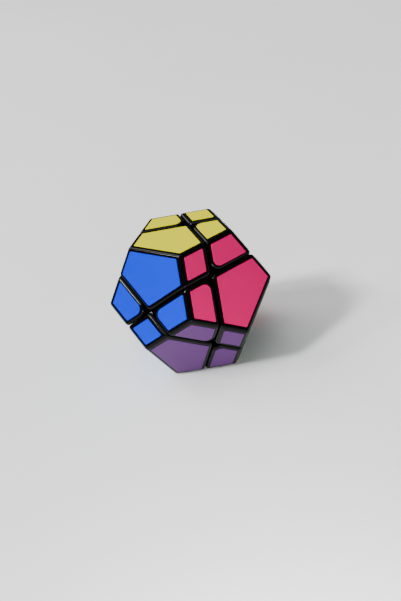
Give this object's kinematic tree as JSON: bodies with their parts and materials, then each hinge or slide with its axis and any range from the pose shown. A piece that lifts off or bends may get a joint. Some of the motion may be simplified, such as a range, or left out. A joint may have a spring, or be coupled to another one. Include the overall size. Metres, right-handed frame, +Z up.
{
  "type": "dodecahedron twisty puzzle",
  "caption": "Deep-cut dodecahedron puzzle: coloured facets on edge and corner pieces that turn in halves about tilted axes through the centre.",
  "frame": {"origin": "under the centre of the bottom face, on the surface it stands on", "axes": "+Z up, through the centres of the bottom and top faces; -Y towards the face that shares the top face's big-facet edge"},
  "size_m": [0.087, 0.0914, 0.0745],
  "materials": {
    "shell_plastic": "gloss",
    "base_plastic": "satin",
    "core_plastic": "satin",
    "screw_steel": "satin",
    "spring_steel": "satin",
    "sticker_yellow": "satin",
    "sticker_blue": "satin",
    "sticker_pink": "satin",
    "sticker_purple": "satin",
    "sticker_green": "satin",
    "sticker_orange": "satin",
    "sticker_white": "satin",
    "sticker_sky": "satin",
    "sticker_maroon": "satin",
    "sticker_dark_green": "satin",
    "sticker_red": "satin",
    "sticker_tan": "satin"
  },
  "bodies": {
    "core": {"core": "core_plastic", "screws": "screw_steel", "washers": "screw_steel", "springs": "spring_steel"},
    "fixed_corner_1": {"fixed_corner_1_shell": "shell_plastic", "fixed_corner_1_base": "base_plastic", "fixed_corner_1_stickers": "sticker_yellow"},
    "fixed_corner_2": {"fixed_corner_2_shell": "shell_plastic", "fixed_corner_2_base": "base_plastic", "fixed_corner_2_stickers": "sticker_white"},
    "fixed_corner_3": {"fixed_corner_3_shell": "shell_plastic", "fixed_corner_3_base": "base_plastic", "fixed_corner_3_stickers": "sticker_maroon"},
    "fixed_corner_4": {"fixed_corner_4_shell": "shell_plastic", "fixed_corner_4_base": "base_plastic", "fixed_corner_4_stickers": "sticker_blue"},
    "free_corner_1": {"free_corner_1_shell": "shell_plastic", "free_corner_1_base": "base_plastic", "free_corner_1_stickers": "sticker_dark_green"},
    "free_corner_2": {"free_corner_2_shell": "shell_plastic", "free_corner_2_base": "base_plastic", "free_corner_2_stickers": "sticker_sky"},
    "free_corner_3": {"free_corner_3_shell": "shell_plastic", "free_corner_3_base": "base_plastic", "free_corner_3_stickers": "sticker_pink"},
    "free_corner_4": {"free_corner_4_shell": "shell_plastic", "free_corner_4_base": "base_plastic", "free_corner_4_stickers": "sticker_red"},
    "edge_12": {"edge_12_shell": "shell_plastic", "edge_12_base": "base_plastic", "edge_12_stickers": "sticker_orange"},
    "edge_13": {"edge_13_shell": "shell_plastic", "edge_13_base": "base_plastic", "edge_13_stickers": "sticker_green"},
    "edge_14": {"edge_14_shell": "shell_plastic", "edge_14_base": "base_plastic", "edge_14_stickers": "sticker_yellow"},
    "edge_23": {"edge_23_shell": "shell_plastic", "edge_23_base": "base_plastic", "edge_23_stickers": "sticker_tan"},
    "edge_24": {"edge_24_shell": "shell_plastic", "edge_24_base": "base_plastic", "edge_24_stickers": "sticker_pink"},
    "edge_34": {"edge_34_shell": "shell_plastic", "edge_34_base": "base_plastic", "edge_34_stickers": "sticker_purple"}
  },
  "joints": [
    {"name": "turn_axis_1", "type": "hinge", "parent": "core", "child": "fixed_corner_1", "pos_m": [0, 0, 0.03725], "axis": [-0.5774, 0.1876, 0.7947], "continuous": true},
    {"name": "turn_axis_2", "type": "hinge", "parent": "core", "child": "fixed_corner_2", "pos_m": [0, 0, 0.03725], "axis": [0.5774, 0.7947, -0.1876], "range_deg": [-360, 360]},
    {"name": "turn_axis_3", "type": "hinge", "parent": "core", "child": "fixed_corner_3", "pos_m": [0, 0, 0.03725], "axis": [-0.5774, -0.1876, -0.7947], "range_deg": [-360, 360]},
    {"name": "turn_axis_4", "type": "hinge", "parent": "core", "child": "fixed_corner_4", "pos_m": [0, 0, 0.03725], "axis": [0.5774, -0.7947, 0.1876], "range_deg": [-360, 360]},
    {"name": "edge_12_on_axis_2", "type": "hinge", "parent": "fixed_corner_1", "child": "edge_12", "pos_m": [0, 0, 0.03725], "axis": [0.5774, 0.7947, -0.1876], "range_deg": [-360, 360]},
    {"name": "edge_13_on_axis_3", "type": "hinge", "parent": "fixed_corner_1", "child": "edge_13", "pos_m": [0, 0, 0.03725], "axis": [-0.5774, -0.1876, -0.7947], "range_deg": [-360, 360]},
    {"name": "edge_14_on_axis_4", "type": "hinge", "parent": "fixed_corner_1", "child": "edge_14", "pos_m": [0, 0, 0.03725], "axis": [0.5774, -0.7947, 0.1876], "range_deg": [-360, 360]},
    {"name": "edge_23_on_axis_3", "type": "hinge", "parent": "fixed_corner_2", "child": "edge_23", "pos_m": [0, 0, 0.03725], "axis": [-0.5774, -0.1876, -0.7947], "range_deg": [-360, 360]},
    {"name": "edge_24_on_axis_4", "type": "hinge", "parent": "fixed_corner_2", "child": "edge_24", "pos_m": [0, 0, 0.03725], "axis": [0.5774, -0.7947, 0.1876], "range_deg": [-360, 360]},
    {"name": "edge_34_on_axis_4", "type": "hinge", "parent": "fixed_corner_3", "child": "edge_34", "pos_m": [0, 0, 0.03725], "axis": [0.5774, -0.7947, 0.1876], "range_deg": [-360, 360]},
    {"name": "free_corner_4_on_axis_3", "type": "hinge", "parent": "edge_12", "child": "free_corner_4", "pos_m": [0, 0, 0.03725], "axis": [-0.5774, -0.1876, -0.7947], "range_deg": [-360, 360]},
    {"name": "free_corner_3_on_axis_4", "type": "hinge", "parent": "edge_12", "child": "free_corner_3", "pos_m": [0, 0, 0.03725], "axis": [0.5774, -0.7947, 0.1876], "range_deg": [-360, 360]},
    {"name": "free_corner_2_on_axis_4", "type": "hinge", "parent": "edge_13", "child": "free_corner_2", "pos_m": [0, 0, 0.03725], "axis": [0.5774, -0.7947, 0.1876], "range_deg": [-360, 360]},
    {"name": "free_corner_1_on_axis_4", "type": "hinge", "parent": "edge_23", "child": "free_corner_1", "pos_m": [0, 0, 0.03725], "axis": [0.5774, -0.7947, 0.1876], "range_deg": [-360, 360]}
  ],
  "couplings": [
    {"joint": "edge_12_on_axis_2", "follows": "turn_axis_2", "ratio": 1},
    {"joint": "edge_13_on_axis_3", "follows": "turn_axis_3", "ratio": 1},
    {"joint": "edge_14_on_axis_4", "follows": "turn_axis_4", "ratio": 1},
    {"joint": "edge_23_on_axis_3", "follows": "turn_axis_3", "ratio": 1},
    {"joint": "edge_24_on_axis_4", "follows": "turn_axis_4", "ratio": 1},
    {"joint": "edge_34_on_axis_4", "follows": "turn_axis_4", "ratio": 1},
    {"joint": "free_corner_4_on_axis_3", "follows": "turn_axis_3", "ratio": 1},
    {"joint": "free_corner_3_on_axis_4", "follows": "turn_axis_4", "ratio": 1},
    {"joint": "free_corner_2_on_axis_4", "follows": "turn_axis_4", "ratio": 1},
    {"joint": "free_corner_1_on_axis_4", "follows": "turn_axis_4", "ratio": 1}
  ]
}
